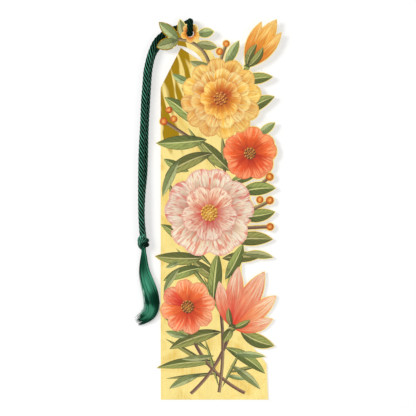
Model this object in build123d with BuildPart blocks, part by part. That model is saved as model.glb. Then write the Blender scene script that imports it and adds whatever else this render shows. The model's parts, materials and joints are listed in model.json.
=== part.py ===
"""Die-cut brass bookmark with printed flowers and a cord tassel.

Millimetres. The bookmark lies face up: +X to the right across the plate, +Y up the plate to its
head, +Z up from the table. Plate places are (u, v): u across from the middle, v up from the foot.
"""

import os
from math import asin, cos, degrees, radians, sin, tan

from build123d import *

os.makedirs("parts", exist_ok=True)

# Sheet and print
sheet = 0.4
ink = 0.1
rim = 0.3

# Panel behind the flowers
panel_left = -18.4
panel_right = 17.4
panel_waist = 8.6
side_taper = 0.6
side_high = 12.0
waist_low = 22.0
waist_high = 92.0
shoulder = (2.0, 108.0)
corner_low = 103.8
corner_high = 117.0
corner_run = 6.7

# Cord, its eye in the head of the plate and its clearances
cord = 2.1
cord_gap = 0.06
lift_gap = 0.25
eye = (-8.6, 121.8)
eye_slack = 0.2
bridge_slack = 0.12
arch_radius = 1.3
joint_gap = 0.1
bend_gap = 0.2

# Head blossom round the eye
blossom_petals = 5
blossom_reach = 1.9
blossom_lap = 0.18

# Flowers: centre on the plate, their rings of petals, and how far each ring shows past the next
dahlia = (1.6, 100.2)
dahlia_outer = {"count": 12, "length": 13.4, "width": 6.6, "turn": 8}
dahlia_shown = 3.2
dahlia_middle = {"count": 11, "length": dahlia_outer["length"] - dahlia_shown, "width": 5.4, "turn": 22}
dahlia_inner = {"count": 8, "length": dahlia_middle["length"] - dahlia_shown, "width": 4.6, "turn": 0}
dahlia_heart = {"count": 9, "reach": 1.9, "lobe": 0.6}
rose = (-2.2, 62.2)
rose_outer = {"count": 5, "length": 15.4, "width": 15.8, "turn": 18, "notch": 1.2}
rose_shown = 5.8
rose_inner = {"count": 5, "length": rose_outer["length"] - rose_shown, "width": 8.8, "turn": 54, "notch": 0.5}
rose_heart = {"count": 13, "reach": 2.4, "lobe": 0.55}
poppy = (11.3, 82.0)
poppy_ring = {"count": 5, "length": 9.2, "width": 9.4, "turn": 20, "notch": 0.5}
poppy_heart = {"count": 10, "reach": 1.6, "lobe": 0.5}
anemone = (-9.4, 31.0)
anemone_ring = {"count": 8, "length": 9.2, "width": 6.2, "turn": 10}
anemone_eye = {"count": 11, "reach": 1.8, "lobe": 0.5}
petal_root = 0.9
petal_base = 0.5
disc_share = 0.74

# Lily seen from the side: throat, then each petal's angle, length and half widths, front ones first
lily_throat = (5.4, 24.0)
lily_boss = 1.3
lily_fan = [(60, 21.5, 3.5, 3.5), (36, 18.0, 2.6, 3.4), (84, 20.6, 3.4, 2.6), (12, 13.8, 1.6, 3.2),
            (106, 16.6, 3.0, 1.8)]
lily_cup = [(238, 5.6, 1.5, 1.5), (24, 6.6, 0.6, 1.5), (100, 6.8, 1.5, 0.6)]

# Bud at the top right
bud_foot = (10.2, 110.6)
bud_boss = 1.0
bud_fan = [(58, 18.6, 3.1, 3.1), (45, 16.2, 1.7, 2.7), (72, 15.8, 2.7, 1.7)]
bud_cup = [(51, 8.6, 0.6, 2.1), (66, 8.4, 2.1, 0.6), (240, 6.0, 0.9, 0.9)]

# Leaves: foot, tip and how far each side bulges from the line between them
long_leaves = [((-6.0, 91.0), (-17.2, 100.6), 1.4, 3.0), ((-3.0, 86.6), (-19.8, 85.4), 2.8, 2.0),
               ((-1.0, 82.0), (-17.0, 74.4), 1.2, 3.4), ((9.0, 94.6), (19.4, 100.8), 2.8, 1.2),
               ((8.0, 106.0), (18.8, 107.4), 2.0, 1.6), ((8.0, 69.0), (19.8, 70.4), 2.8, 1.6),
               ((8.0, 61.0), (19.6, 62.6), 1.6, 2.6), ((5.0, 53.0), (18.8, 53.4), 2.8, 1.8),
               ((-8.0, 50.0), (-18.4, 58.4), 1.0, 2.6), ((-4.0, 47.4), (-20.2, 47.8), 2.8, 1.6),
               ((-4.0, 44.0), (-17.6, 39.6), 1.2, 2.6), ((-1.0, 32.0), (0.6, 49.0), 2.6, 2.2),
               ((3.0, 40.0), (9.0, 52.0), 1.6, 2.4), ((8.0, 23.0), (19.4, 18.0), 1.4, 3.0),
               ((2.0, 22.6), (-15.6, 16.8), 1.2, 3.2), ((3.0, 17.4), (16.4, 8.6), 2.8, 1.0),
               ((0.0, 12.6), (-19.6, 10.6), 1.0, 2.4), ((5.0, 76.0), (-5.6, 86.4), 2.4, 2.0),
               ((2.0, 39.0), (-8.4, 47.0), 2.2, 1.6), ((4.0, 72.0), (14.6, 76.0), 1.6, 1.6),
               ((-9.0, 76.0), (-17.4, 80.2), 1.8, 1.2), ((2.0, 47.0), (14.6, 47.4), 2.2, 1.4)]
small_leaves = [((3.0, 111.0), (7.6, 119.4), 1.5, 1.5), ((0.0, 110.0), (-8.8, 112.6), 1.8, 1.0),
                ((-12.0, 80.0), (-17.8, 67.6), 1.0, 2.0), ((14.0, 88.0), (19.6, 92.2), 1.3, 1.3),
                ((-5.0, 8.4), (-15.6, 3.6), 0.8, 1.9), ((5.0, 11.4), (14.8, 3.4), 1.8, 0.8),
                ((9.0, 48.6), (19.0, 47.4), 1.6, 0.9), ((-12.0, 44.0), (-17.4, 35.6), 0.6, 1.6),
                ((6.0, 15.2), (16.4, 14.4), 1.3, 0.9), ((-8.0, 105.0), (-14.6, 108.4), 1.6, 1.0),
                ((-0.6, 14.6), (-11.6, 13.6), 1.2, 0.8), ((-9.6, 21.0), (-16.8, 22.8), 1.3, 0.9),
                ((-11.6, 46.6), (-16.8, 44.0), 1.1, 0.7), ((3.4, 8.0), (9.6, 6.6), 0.9, 0.6)]
head_leaves = [((-12.4, 119.8), (-18.8, 125.4), 1.6, 1.6), ((-12.4, 119.6), (-19.6, 117.4), 1.9, 1.7),
               ((-10.6, 119.4), (-12.0, 126.4), 1.3, 1.5), ((-6.2, 121.6), (-0.8, 122.4), 1.5, 1.5),
               ((-6.6, 118.4), (0.4, 117.2), 1.5, 1.4)]
berries = [((-17.4, 92.6), 1.3), ((-14.0, 93.4), 1.2), ((-15.6, 96.4), 1.1), ((17.8, 74.2), 1.3),
           ((17.9, 66.4), 1.3), ((14.6, 66.6), 1.2), ((1.2, 115.8), 1.2), ((3.4, 118.4), 1.1),
           ((18.0, 57.6), 1.2)]

# Stems: three points of each curve
stem_width = 1.1
stems = [((-9.4, 25.0), (-1.8, 11.0), (9.6, 2.2)), ((5.4, 25.0), (0.0, 12.0), (-8.4, 2.0)),
         ((0.6, 36.0), (2.2, 22.0), (1.0, 2.4)), ((9.4, 109.0), (7.8, 104.6), (5.0, 100.0)),
         ((-2.0, 110.0), (-4.8, 116.4), (-12.6, 119.8)), ((8.0, 68.0), (13.0, 70.6), (17.6, 74.0)),
         ((1.0, 110.0), (2.0, 114.4), (3.4, 118.0)), ((-7.0, 86.0), (-12.4, 89.6), (-17.2, 92.6)),
         ((8.0, 63.0), (13.4, 64.0), (17.8, 66.4)), ((8.0, 57.0), (13.0, 57.4), (18.0, 57.6))]
neck = ((-1.0, 108.0), (-4.4, 116.0), (-12.6, 119.9))
neck_width = 4.2

# Cord route on the table: place of the middle of the two legs, and how far the outer leg leans over
# the inner one, from 0 beside it to 90 on top of it
tail_route = [(-12.6, 123.5, 0), (-16.5, 122.3, 0), (-20.0, 119.4, 0), (-21.11, 116.2, 0)]
leg_route = [(-21.11, 116.2, 0), (-21.75, 114.3, 7), (-22.4, 111.8, 25), (-22.95, 108.7, 44),
             (-23.45, 105.0, 54), (-23.85, 99.5, 55), (-24.2, 91.0, 56), (-24.5, 83.0, 58),
             (-24.75, 75.5, 64), (-24.95, 68.5, 82), (-25.0, 62.0, 88), (-24.9, 58.0, 88),
             (-24.65, 54.9, 88)]

# Knot sections: place, half width, half height and rise of the middle over the table
knot_rows = [(-24.6, 54.8, 1.15, 2.1, 2.2), (-24.35, 53.8, 1.75, 2.15, 2.2), (-24.2, 52.3, 1.95, 2.15, 2.2),
             (-24.1, 50.9, 1.5, 1.75, 1.97), (-24.05, 50.2, 0.95, 1.1, 1.75)]

# Skirt sections in the same way, with the floss's heading in degrees
skirt_rows = [(-24.0, 47.4, 1.15, 1.0, 1.6, -90), (-23.9, 45.0, 1.65, 1.25, 1.5, -88),
              (-23.3, 40.6, 2.2, 1.45, 1.6, -76), (-22.25, 36.4, 2.4, 1.4, 1.55, -76),
              (-21.7, 33.0, 2.5, 1.25, 1.4, -94), (-22.1, 30.4, 2.6, 1.05, 1.2, -112),
              (-23.1, 28.2, 2.7, 0.8, 1.0, -120), (-24.3, 26.3, 2.8, 0.55, 0.75, -124)]
skirt_pivot = (-24.0, 49.0)
skirt_neck = 0.9
neck_rise = 1.75


def petal(length, width, notch=0.0):
    """One petal that points along +X from the middle of its flower."""
    half = width / 2
    shoulder = length - 0.8 * half
    with BuildSketch() as outline:
        with BuildLine():
            Line((petal_root, 0), (petal_root, petal_base))
            SagittaArc((petal_root, petal_base), (shoulder, half), 0.12 * (shoulder - petal_root))
            ThreePointArc((shoulder, half), (length - 0.12 * half, half * 0.5), (length - notch, 0))
            mirror(about=Plane.XZ)
        make_face()
    return outline.sketch


def ring(centre, grow, count, length, width, turn, notch=0.0):
    """A ring of petals."""
    with BuildSketch() as outline:
        with Locations(centre):
            with PolarLocations(0, count, turn):
                add(petal(length + grow, width + 2 * grow, notch))
    return outline.sketch


def disc(centre, radius):
    """A round spot."""
    with BuildSketch() as outline:
        with Locations(centre):
            Circle(radius)
    return outline.sketch


def heart(centre, grow, count, reach, lobe):
    """The middle of a flower, with a ring of small lobes round it."""
    with BuildSketch() as outline:
        with Locations(centre):
            Circle(reach)
            with PolarLocations(reach, count):
                Circle(lobe + grow)
    return outline.sketch


def blade(foot, tip, left, right, grow=0.0):
    """A leaf from its foot to its tip, with its left and right bulges."""
    along = (Vector(tip) - Vector(foot)).normalized() * grow
    start = Vector(foot) - along
    end = Vector(tip) + along
    with BuildSketch() as outline:
        with BuildLine():
            SagittaArc(start, end, left + grow)
            SagittaArc(end, start, right + grow)
        make_face()
    return outline.sketch


def fan(foot, blades, grow=0.0):
    """Blades that spread from one foot at their own angles, the first one in front."""
    shapes = []
    for angle, length, left, right in blades:
        tip = (foot[0] + length * cos(radians(angle)), foot[1] + length * sin(radians(angle)))
        shapes.append(blade(foot, tip, left, right, grow))
    return shapes


def twig(points, width):
    """A curved stem through three points."""
    with BuildSketch() as outline:
        with BuildLine():
            ThreePointArc(*points)
        trace(line_width=width)
    return outline.sketch


def shingled(shapes):
    """Shapes that overlap, each cut back to what shows behind those before it."""
    with BuildSketch() as outline:
        add(shapes[0])
        for n, shape in enumerate(shapes[1:], 1):
            with BuildSketch(mode=Mode.PRIVATE) as shown:
                add(shape)
                add(shapes[:n], mode=Mode.SUBTRACT)
            add(shown.sketch)
    return outline.sketch


def flowers(grow=0.0):
    """Every printed shape by node, front ones first, each a list of its shapes."""
    shapes = {"dahlia_heart": [heart(dahlia, grow, **dahlia_heart)]}
    shapes["dahlia_inner"] = [ring(dahlia, grow, **dahlia_inner)]
    shapes["dahlia_middle"] = [ring(dahlia, grow, **dahlia_middle)]
    shapes["dahlia_outer"] = [ring(dahlia, grow, **dahlia_outer)]
    shapes["poppy_heart"] = [heart(poppy, grow, **poppy_heart)]
    shapes["poppy_petals"] = [ring(poppy, grow, **poppy_ring)]
    shapes["rose_heart"] = [heart(rose, grow, **rose_heart)]
    shapes["rose_inner"] = [ring(rose, grow, **rose_inner)]
    shapes["rose_petals"] = [ring(rose, grow, **rose_outer)]
    shapes["anemone_eye"] = [heart(anemone, grow, **anemone_eye)]
    shapes["anemone_petals"] = [ring(anemone, grow, **anemone_ring)]
    shapes["lily_calyx"] = [disc(lily_throat, lily_boss + grow)] + fan(lily_throat, lily_cup, grow)
    shapes["lily_petals"] = fan(lily_throat, lily_fan, grow)
    shapes["bud_calyx"] = [disc(bud_foot, bud_boss + grow)] + fan(bud_foot, bud_cup, grow)
    shapes["bud_petals"] = fan(bud_foot, bud_fan, grow)
    shapes["head_blossom"] = blossom(grow)
    shapes["head_leaves"] = [blade(*leaf, grow) for leaf in head_leaves]
    shapes["berries"] = [disc(place, radius + grow) for place, radius in berries]
    shapes["small_leaves"] = [blade(*leaf, grow) for leaf in small_leaves]
    shapes["long_leaves"] = [blade(*leaf, grow) for leaf in long_leaves]
    shapes["stems"] = [twig(points, stem_width + 2 * grow) for points in stems]
    return shapes


# The blossom's petals overlap their neighbours, and the cord lies in the dip between the top two
valley = blossom_reach * cos(radians(180 / blossom_petals))
flank = blossom_reach * sin(radians(180 / blossom_petals))
blossom_round = flank + blossom_lap


def blossom(grow=0.0):
    """Round petals about the cord's eye, with a dip between two of them at the top."""
    with BuildSketch() as outline:
        with Locations(eye):
            with PolarLocations(blossom_reach, blossom_petals, -90):
                Circle(blossom_round + grow)
    return [outline.sketch]


def panel():
    """The plain panel: straight left side and foot, cut corner, narrower behind the flowers."""
    with BuildSketch() as outline:
        with BuildLine():
            Polyline((panel_left, 0), (panel_right, 0), (panel_right - side_taper, side_high),
                     (panel_waist, waist_low), (panel_waist, waist_high), shoulder,
                     (panel_left + corner_run, corner_high), (panel_left, corner_low), close=True)
        make_face()
    return outline.sketch


# The plate's outline is the panel and every printed shape with its bare rim
with BuildSketch() as plate_outline:
    add(panel())
    for grown in flowers(rim).values():
        add(grown)
    for middle, outer in ((dahlia, dahlia_outer), (rose, rose_outer), (poppy, poppy_ring),
                          (anemone, anemone_ring)):
        add(disc(middle, disc_share * outer["length"]))
    add(twig(neck, neck_width))
    with Locations(eye):
        Circle(blossom_reach)
        Circle(cord / 2 + eye_slack, mode=Mode.SUBTRACT)

# The head of the plate lies on the cord's two tails, the foot on the table
extent = plate_outline.sketch.bounding_box()
cord_height = tail_route[-1][1]
tilt = asin((cord + lift_gap) / cord_height)
middle_u = (extent.min.X + extent.max.X) / 2
middle_y = (extent.max.Y * cos(tilt) - (sheet + ink) * sin(tilt)) / 2
back = Plane(origin=(-middle_u, -middle_y, 0), x_dir=(1, 0, 0), z_dir=(0, -sin(tilt), cos(tilt)))
front = back.offset(sheet)
print(f"plate {extent.size.X:.2f} x {extent.size.Y:.2f} mm, tilt {degrees(tilt):.2f} degrees")


def on_table(u, v, z=0.0):
    """A place beside or under the plate, in the part's own axes."""
    return Vector(u - middle_u, v - middle_y, z)


with BuildPart() as gilt_plate:
    with BuildSketch(back):
        add(plate_outline.sketch)
    extrude(amount=sheet)
gilt_plate.part.label = "gilt_plate"
export_step(gilt_plate.part, "parts/gilt_plate.step")

# Printed films, front ones first, each cut back to what shows
printed = []
for name, shapes in flowers().items():
    with BuildPart() as film:
        with BuildSketch(front):
            add(shingled(shapes))
            if printed:
                add(printed, mode=Mode.SUBTRACT)
            with Locations(eye):
                Circle(cord / 2 + eye_slack, mode=Mode.SUBTRACT)
        extrude(amount=ink)
    printed += shapes
    film.part.label = name
    export_step(film.part, f"parts/{name}.step")
    print(name, len(film.part.solids()), "films")


def bends(points):
    """Bend radii of a cord: as open as its runs allow."""
    radii = []
    for before, here, after in zip(points, points[1:], points[2:]):
        turn = (here - before).get_angle(after - here)
        shorter = min((here - before).length, (after - here).length)
        radii.append(0.45 * shorter / tan(radians(turn / 2)))
    return radii


def legs(route, ends=None):
    """The two legs of the cord along the route of their middle: inner one on the table, outer one
    beside it or leaning over it. ends gives the first point of each leg where they start apart."""
    spacing = cord + cord_gap
    places = [Vector(u, v) for u, v, lean in route]
    inner = []
    outer = []
    for n, (u, v, lean) in enumerate(route):
        ahead = places[min(n + 1, len(route) - 1)]
        behind = places[max(n - 1, 0)]
        side = (ahead - behind).normalized().rotate(Axis.Z, -90) * (spacing / 2 * cos(radians(lean)))
        inner.append(on_table(u - side.X, v - side.Y, cord / 2))
        outer.append(on_table(u + side.X, v + side.Y, cord / 2 + spacing * sin(radians(lean))))
    if ends:
        inner.insert(0, ends[0])
        outer.insert(0, ends[1])
    return inner, outer


def tube(points, radii, name):
    """One stretch of cord."""
    with BuildPart() as stretch:
        with BuildLine() as path:
            FilletPolyline(*points, radius=radii)
        with BuildSketch(path.line ^ 0):
            Circle(cord / 2)
        sweep()
    share = stretch.part.volume / (3.14159 * cord**2 / 4 * path.wire().length)
    print(name, f"{path.wire().length:.1f} mm, radii", [round(r, 1) for r in radii], f"volume {share:.3f}")
    stretch.part.label = name
    export_step(stretch.part, f"parts/{name}.step")


# Cord loop: up through the eye, over the bridge and down past the edge of the head
hole = back.from_local_coords((eye[0], eye[1], 0))
round_off = blossom_round + rim + cord / 2 + bridge_slack
drop = valley + (round_off**2 - flank**2) ** 0.5
top = front.from_local_coords((eye[0], eye[1] + drop, ink)).Z + bridge_slack + cord / 2
low = cord + joint_gap
loop_points = [(hole.X, hole.Y, low), (hole.X, hole.Y, top), (hole.X, hole.Y + drop, top),
               (hole.X, hole.Y + drop, low)]
tube(loop_points, [arch_radius, arch_radius], "cord_loop")

# Tails behind the head, then the legs down to the knot
starts = [Vector(hole.X + 0.4 * cord, hole.Y, cord / 2), Vector(hole.X + 0.4 * cord, hole.Y + drop, cord / 2)]
for side, points in zip(("inner", "outer"), legs(tail_route, starts)):
    tube(points, bends(points), f"cord_tail_{side}")
for side, points in zip(("inner", "outer"), legs(leg_route)):
    points[0] += (points[1] - points[0]).normalized() * bend_gap
    tube(points, bends(points), f"cord_leg_{side}")

# Overhand knot, lofted along the cord
with BuildPart() as knot:
    for u, v, wide, high, rise in knot_rows:
        with BuildSketch(Plane(origin=on_table(u, v, rise), x_dir=(1, 0, 0), z_dir=(0, -1, 0))):
            Ellipse(wide, high)
    loft()
knot.part.label = "knot"
export_step(knot.part, "parts/knot.step")

# Skirt of floss: a round neck that turns under the knot, then a flattening brush
with BuildPart() as skirt:
    for angle in (60, 0):
        start = on_table(skirt_pivot[0], skirt_pivot[1] + skirt_neck * sin(radians(angle)), neck_rise)
        with BuildSketch(Plane(origin=start, x_dir=(1, 0, 0), z_dir=(0, -1, 0))):
            Circle(skirt_neck * cos(radians(angle)))
    for u, v, wide, high, rise, heading in skirt_rows:
        way = (cos(radians(heading)), sin(radians(heading)), 0)
        across = (-sin(radians(heading)), cos(radians(heading)), 0)
        with BuildSketch(Plane(origin=on_table(u, v, rise), x_dir=across, z_dir=way)):
            Ellipse(wide, high)
    loft()
skirt.part.label = "skirt"
export_step(skirt.part, "parts/skirt.step")

pivot = (hole.X, hole.Y + drop / 2)
bend = on_table(tail_route[-1][0], tail_route[-1][1], cord)
heading = (Vector(*tail_route[-1][:2]) - Vector(*tail_route[-2][:2])).normalized()
print("swing at", [round(x, 3) for x in pivot])
print("lift at", [round(x, 3) for x in bend], "cord heads", round(heading.X, 3), round(heading.Y, 3))
print("skirt turns at", [round(x, 3) for x in on_table(*skirt_pivot, neck_rise)])
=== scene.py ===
import json
import math
import random

import bpy
from mathutils import Matrix, Vector
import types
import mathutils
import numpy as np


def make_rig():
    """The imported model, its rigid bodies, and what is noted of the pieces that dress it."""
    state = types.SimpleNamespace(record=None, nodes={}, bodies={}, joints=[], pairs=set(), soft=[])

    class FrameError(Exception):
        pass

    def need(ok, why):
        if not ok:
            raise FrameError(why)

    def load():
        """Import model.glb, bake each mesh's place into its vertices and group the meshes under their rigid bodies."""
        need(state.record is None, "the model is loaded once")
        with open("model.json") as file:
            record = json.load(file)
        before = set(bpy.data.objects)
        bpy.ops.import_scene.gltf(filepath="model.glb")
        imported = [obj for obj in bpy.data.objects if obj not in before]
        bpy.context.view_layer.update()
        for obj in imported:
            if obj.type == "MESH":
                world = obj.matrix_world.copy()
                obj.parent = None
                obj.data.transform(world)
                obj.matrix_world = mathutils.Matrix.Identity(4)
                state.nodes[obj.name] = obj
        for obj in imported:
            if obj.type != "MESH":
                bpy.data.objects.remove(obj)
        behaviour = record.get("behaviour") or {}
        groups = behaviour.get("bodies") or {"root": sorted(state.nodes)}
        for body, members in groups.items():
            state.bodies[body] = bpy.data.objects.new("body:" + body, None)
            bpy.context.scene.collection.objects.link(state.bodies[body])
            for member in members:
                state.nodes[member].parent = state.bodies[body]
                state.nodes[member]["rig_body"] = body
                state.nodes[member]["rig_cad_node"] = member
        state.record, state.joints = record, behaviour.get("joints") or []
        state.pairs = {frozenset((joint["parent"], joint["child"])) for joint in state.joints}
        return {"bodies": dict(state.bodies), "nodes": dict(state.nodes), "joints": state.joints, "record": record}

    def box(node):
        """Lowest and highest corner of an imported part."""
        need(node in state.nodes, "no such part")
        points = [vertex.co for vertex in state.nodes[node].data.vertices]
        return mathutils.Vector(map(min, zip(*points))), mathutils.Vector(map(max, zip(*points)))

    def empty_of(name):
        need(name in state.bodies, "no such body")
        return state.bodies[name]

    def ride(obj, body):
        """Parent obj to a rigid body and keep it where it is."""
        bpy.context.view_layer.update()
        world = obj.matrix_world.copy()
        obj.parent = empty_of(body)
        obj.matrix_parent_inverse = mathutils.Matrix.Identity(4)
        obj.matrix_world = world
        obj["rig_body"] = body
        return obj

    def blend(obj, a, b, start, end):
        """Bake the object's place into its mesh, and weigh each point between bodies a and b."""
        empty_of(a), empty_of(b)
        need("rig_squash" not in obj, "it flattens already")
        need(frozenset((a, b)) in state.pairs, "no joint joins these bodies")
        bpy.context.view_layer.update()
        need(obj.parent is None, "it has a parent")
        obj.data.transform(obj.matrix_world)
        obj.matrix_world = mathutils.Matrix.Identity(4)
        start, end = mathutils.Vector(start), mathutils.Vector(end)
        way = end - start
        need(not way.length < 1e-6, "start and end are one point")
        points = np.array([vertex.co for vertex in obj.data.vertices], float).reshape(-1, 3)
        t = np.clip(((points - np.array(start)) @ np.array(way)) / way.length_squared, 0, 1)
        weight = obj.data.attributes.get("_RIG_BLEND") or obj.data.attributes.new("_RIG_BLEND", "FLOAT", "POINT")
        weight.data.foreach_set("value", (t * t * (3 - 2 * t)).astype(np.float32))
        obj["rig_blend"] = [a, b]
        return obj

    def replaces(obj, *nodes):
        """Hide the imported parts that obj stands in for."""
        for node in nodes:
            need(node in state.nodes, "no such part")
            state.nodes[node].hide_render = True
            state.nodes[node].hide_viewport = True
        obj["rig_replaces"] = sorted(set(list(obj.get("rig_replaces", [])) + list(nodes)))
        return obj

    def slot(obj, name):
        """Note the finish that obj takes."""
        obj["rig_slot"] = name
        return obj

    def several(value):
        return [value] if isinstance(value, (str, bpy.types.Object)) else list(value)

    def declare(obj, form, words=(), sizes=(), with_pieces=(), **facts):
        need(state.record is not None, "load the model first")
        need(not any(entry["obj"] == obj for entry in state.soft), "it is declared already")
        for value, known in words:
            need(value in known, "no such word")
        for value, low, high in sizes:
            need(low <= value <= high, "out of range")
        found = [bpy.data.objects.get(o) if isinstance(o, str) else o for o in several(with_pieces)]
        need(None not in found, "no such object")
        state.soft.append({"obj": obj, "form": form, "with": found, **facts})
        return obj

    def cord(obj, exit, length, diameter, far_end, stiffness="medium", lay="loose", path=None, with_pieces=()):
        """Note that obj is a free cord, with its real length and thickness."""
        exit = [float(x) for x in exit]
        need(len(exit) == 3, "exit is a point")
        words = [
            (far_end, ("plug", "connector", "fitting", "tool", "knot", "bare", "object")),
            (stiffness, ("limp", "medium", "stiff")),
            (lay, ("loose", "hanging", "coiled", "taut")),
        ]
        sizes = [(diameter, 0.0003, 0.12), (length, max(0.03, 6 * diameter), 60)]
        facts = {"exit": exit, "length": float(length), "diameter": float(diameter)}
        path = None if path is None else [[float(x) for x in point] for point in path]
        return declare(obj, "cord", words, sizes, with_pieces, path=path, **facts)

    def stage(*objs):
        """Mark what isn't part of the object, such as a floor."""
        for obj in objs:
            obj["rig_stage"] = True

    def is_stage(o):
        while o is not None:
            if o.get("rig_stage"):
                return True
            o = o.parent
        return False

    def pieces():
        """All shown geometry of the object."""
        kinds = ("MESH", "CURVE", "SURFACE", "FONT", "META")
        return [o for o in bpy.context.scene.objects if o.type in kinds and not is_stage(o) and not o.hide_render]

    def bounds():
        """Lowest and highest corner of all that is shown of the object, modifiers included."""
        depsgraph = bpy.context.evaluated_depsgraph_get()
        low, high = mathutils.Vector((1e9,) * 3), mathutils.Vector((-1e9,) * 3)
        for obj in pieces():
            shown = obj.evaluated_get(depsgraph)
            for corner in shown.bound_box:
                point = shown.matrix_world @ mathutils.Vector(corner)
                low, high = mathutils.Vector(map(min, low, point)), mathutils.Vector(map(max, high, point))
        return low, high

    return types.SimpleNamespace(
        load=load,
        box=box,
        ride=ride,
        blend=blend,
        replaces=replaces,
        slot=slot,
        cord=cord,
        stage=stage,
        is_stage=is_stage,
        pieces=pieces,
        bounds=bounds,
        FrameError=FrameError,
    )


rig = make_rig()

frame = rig.load()
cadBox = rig.bounds()
dice = random.Random(11)
mm = 0.001
print("frame loaded,", len(frame["nodes"]), "nodes")

# The print lies on the plate's front in millimetres: u across, v up from the foot, rise off the metal
plate = {"footMiddle": -0.5, "sheet": 0.4, "sunk": 0.02, "weld": 0.0005}
mounts = {mount["name"]: mount for mount in frame["record"]["mounts"]}
footPlace = Vector(mounts["foot_edge"]["pos_m"])
frontWay = Vector(mounts["print_face"]["axis"]).normalized()
acrossWay = Vector((1, 0, 0))
upWay = frontWay.cross(acrossWay)
layoutFoot = footPlace - acrossWay * plate["footMiddle"] * mm
frontFoot = layoutFoot + frontWay * plate["sheet"] / 2 * mm
plateAxes = Matrix((acrossWay, upWay, frontWay)).transposed().to_4x4()
onPlate = Matrix.Translation(frontFoot) @ plateAxes @ Matrix.Scale(mm, 4)


def onTable(u, v, z=0.0):  # a place beside the plate, z over the table
    return Vector((layoutFoot.x + u * mm, layoutFoot.y + v * mm, z * mm))


# Camera straight over the bookmark, as in the photograph
shot = {"middle": (-3.35, 0.5), "width": 138.7, "distance": 620.0, "sensor": 36, "clip": 0.01}
lens = bpy.data.cameras.new("shotCamera")
lens.sensor_width = shot["sensor"]
lens.lens = shot["sensor"] * shot["distance"] / shot["width"]
lens.clip_start = shot["clip"]
camera = bpy.data.objects.new("shotCamera", lens)
bpy.context.scene.collection.objects.link(camera)
camera.matrix_world = Matrix.Translation(Vector((*shot["middle"], shot["distance"])) * mm)
bpy.context.scene.camera = camera
print("camera set")


# Short hands for shader nodes
def tint(code):  # screen colour to the shader's own
    levels = [int(code[n:n + 2], 16) / 255 for n in (0, 2, 4)]
    return [x / 12.92 if x < 0.04045 else ((x + 0.055) / 1.055) ** 2.4 for x in levels] + [1.0]


def addNode(tree, kind, inputs=(), **settings):  # inputs are sockets, numbers or screen colours
    made = tree.nodes.new("ShaderNode" + kind)
    for name, value in settings.items():
        setattr(made, name, value)
    for key, value in dict(inputs).items():
        if isinstance(value, bpy.types.NodeSocket):
            tree.links.new(value, made.inputs[key])
        else:
            made.inputs[key].default_value = tint(value) if isinstance(value, str) else value
    return made


def calc(tree, operation, a, b=0.0, c=0.0):
    return addNode(tree, "Math", {0: a, 1: b, 2: c}, operation=operation).outputs[0]


def times(tree, a, b):
    return calc(tree, "MULTIPLY", a, b)


def plus(tree, a, b):
    return calc(tree, "ADD", a, b)


def scaled(tree, value, factor, offset):
    return calc(tree, "MULTIPLY_ADD", value, factor, offset)


def ease(tree, value, low, high, start=0.0, end=1.0):
    limits = {0: value, 1: low, 2: high, 3: start, 4: end}
    return addNode(tree, "MapRange", limits, interpolation_type="SMOOTHSTEP").outputs[0]


def mixTint(tree, share, a, b):
    return addNode(tree, "Mix", {0: share, 6: a, 7: b}, data_type="RGBA").outputs[2]


def cloud(tree, place, scale, detail=2.0, twist=0.0):
    inputs = {"Vector": place, "Scale": scale, "Detail": detail, "Distortion": twist}
    return addNode(tree, "TexNoise", inputs).outputs[0]


def joinXyz(tree, x, y, z):
    return addNode(tree, "CombineXYZ", {0: x, 1: y, 2: z}).outputs[0]


def newGroup(name, inputs, outputs):
    tree = bpy.data.node_groups.new(name, "ShaderNodeTree")
    for side, sockets in (("INPUT", inputs), ("OUTPUT", outputs)):
        for label, kind in sockets.items():
            tree.interface.new_socket(name=label, in_out=side, socket_type="NodeSocket" + kind)
    return tree, tree.nodes.new("NodeGroupInput").outputs, tree.nodes.new("NodeGroupOutput").inputs


def newMaterial(name):
    made = bpy.data.materials.new(name)
    made.use_nodes = True
    return made, made.node_tree, made.node_tree.nodes["Principled BSDF"]


def meshValue(tree, name):  # a value that the mesh carries
    return addNode(tree, "Attribute", attribute_name=name).outputs["Fac"]


def brushPlaces(tree, brush):  # place, then along, across and off the middle of a sheet, its tone and seed
    coords = addNode(tree, "TexCoord").outputs
    uv = addNode(tree, "SeparateXYZ", {0: coords["UV"]}).outputs
    fromMid = calc(tree, "ABSOLUTE", scaled(tree, uv[1], 2.0, -1.0))
    tone = meshValue(tree, "tone")
    return coords["Object"], uv[0], uv[1], fromMid, tone, times(tree, tone, brush["seed"])


def tonedPaint(tree, paint, tone, blotch, brush):  # each sheet a little off in hue and value
    hue = scaled(tree, tone, brush["hueSwing"], 0.5 - brush["hueSwing"] / 2)
    bright = plus(tree, times(tree, tone, brush["valueSwing"]), times(tree, blotch, brush["blotchValue"]))
    inputs = {"Hue": hue, "Value": plus(tree, bright, brush["value"]), "Color": paint}
    return addNode(tree, "HueSaturation", inputs).outputs[0]


# Painted petals: deep at the root, pale at the tip, streaks and flecks along the petal
petalBrush = {"seed": 37.0, "long": 1.5, "broad": 0.45, "fine": 1.3, "blotch": 420.0, "flecks": (3.4, 17.0),
              "hueSwing": 0.018, "valueSwing": 0.16, "blotchValue": 0.3, "value": 0.78}


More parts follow.
